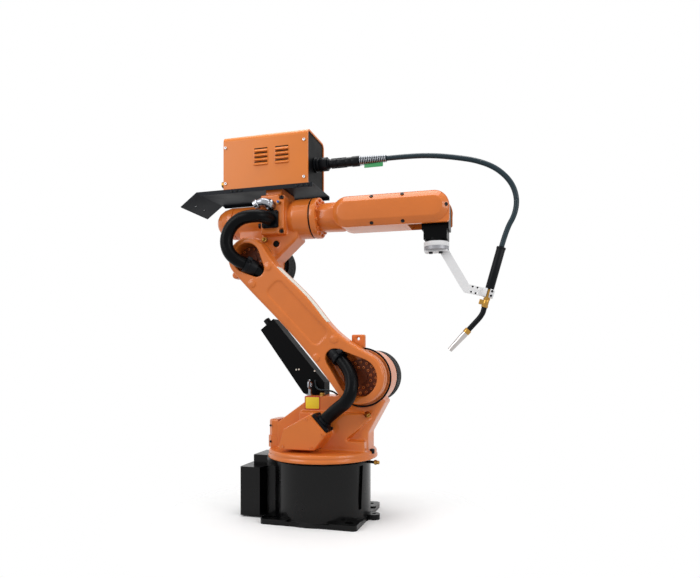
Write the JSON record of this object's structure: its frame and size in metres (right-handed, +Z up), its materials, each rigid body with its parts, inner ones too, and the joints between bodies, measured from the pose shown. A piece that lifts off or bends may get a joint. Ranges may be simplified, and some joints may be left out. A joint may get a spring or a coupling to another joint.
{
  "type": "arc-welding robot arm",
  "caption": "Floor-standing six-axis welding robot arm with a wire feeder on its elbow and a bent torch on its wrist.",
  "frame": {"origin": "centre of the base's underside on the floor, on the first axis", "axes": "+X the way the arm reaches, +Z up along the first axis, the arm's open side faces -Y"},
  "size_m": [1.1755, 0.38, 1.329],
  "materials": {
    "arm_orange": "gloss",
    "feeder_orange": "satin",
    "base_black": "gloss",
    "tray_dark": "satin",
    "motor_black": "satin",
    "fitting_brass": "satin",
    "fitting_zinc": "satin",
    "bracket_white": "satin",
    "block_grey": "satin",
    "wrist_black": "satin",
    "torch_black": "matte",
    "nozzle_metal": "polished",
    "seal_black": "matte",
    "conduit_black": "satin",
    "cable_black": "matte",
    "panel_black": "satin"
  },
  "bodies": {
    "base": {"base_casting": "base_black", "connector_box": "base_black", "connector_block": "base_black"},
    "turret": {"turret_casting": "arm_orange", "axis1_motor_cover": "arm_orange", "cable_housing_cover": "arm_orange", "lower_conduit_gland": "torch_black", "lifting_eye": "fitting_zinc", "oil_plugs": "fitting_brass", "axis2_motor": "motor_black", "shoulder_seal": "seal_black", "utility_box": "panel_black", "utility_box_plug": "torch_black", "lower_conduit": "conduit_black"},
    "lower_arm": {"lower_arm_casting": "arm_orange", "shoulder_flange": "arm_orange", "elbow_flange": "arm_orange", "upper_conduit": "conduit_black"},
    "elbow": {"elbow_casting": "arm_orange", "elbow_seal": "seal_black", "axis3_motor": "motor_black", "axis4_motor_cover": "arm_orange", "conduit_flange": "torch_black", "angled_connector": "fitting_zinc", "air_fitting": "fitting_brass", "forearm_seal": "seal_black", "feeder_tray": "tray_dark", "feeder_housing": "feeder_orange", "feeder_front_panel": "panel_black", "feeder_rear_panel": "panel_black", "feeder_inlets": "fitting_brass", "torch_connector": "torch_black", "torch_strain_relief": "fitting_zinc", "torch_cable": "cable_black"},
    "forearm": {"forearm_casting": "arm_orange", "forearm_cover": "arm_orange", "wrist_side_cover": "arm_orange"},
    "wrist": {"wrist_block": "wrist_black", "wrist_bearings": "wrist_black"},
    "tool": {"torch_mount": "block_grey", "mount_knobs": "torch_black", "torch_bracket": "bracket_white", "torch_clamp": "bracket_white", "torch_handle": "torch_black", "torch_neck": "torch_black", "torch_nozzle": "nozzle_metal"}
  },
  "joints": [
    {"name": "axis1_turn", "type": "hinge", "parent": "base", "child": "turret", "pos_m": [0, 0, 0.208], "axis": [0, 0, 1], "range_deg": [-170, 170]},
    {"name": "axis2_swing", "type": "hinge", "parent": "turret", "child": "lower_arm", "pos_m": [0.157, 0, 0.483], "axis": [0, 1, 0], "range_deg": [-35, 90], "deforming": ["lower_conduit"]},
    {"name": "axis3_swing", "type": "hinge", "parent": "lower_arm", "child": "elbow", "pos_m": [-0.23758, 0, 0.89018], "axis": [0, -1, 0], "range_deg": [-20, 90], "deforming": ["upper_conduit"]},
    {"name": "axis4_roll", "type": "hinge", "parent": "elbow", "child": "forearm", "pos_m": [-0.02898, 0, 1.03618], "axis": [1, 0, 0], "range_deg": [-150, 150], "deforming": ["torch_cable"]},
    {"name": "axis5_bend", "type": "hinge", "parent": "forearm", "child": "wrist", "pos_m": [0.39542, 0, 1.03618], "axis": [0, -1, 0], "range_deg": [-20, 160], "deforming": ["torch_cable"]},
    {"name": "axis6_turn", "type": "hinge", "parent": "wrist", "child": "tool", "pos_m": [0.39542, 0, 0.92868], "axis": [0, 0, 1], "range_deg": [-120, 120], "deforming": ["torch_cable"]}
  ]
}
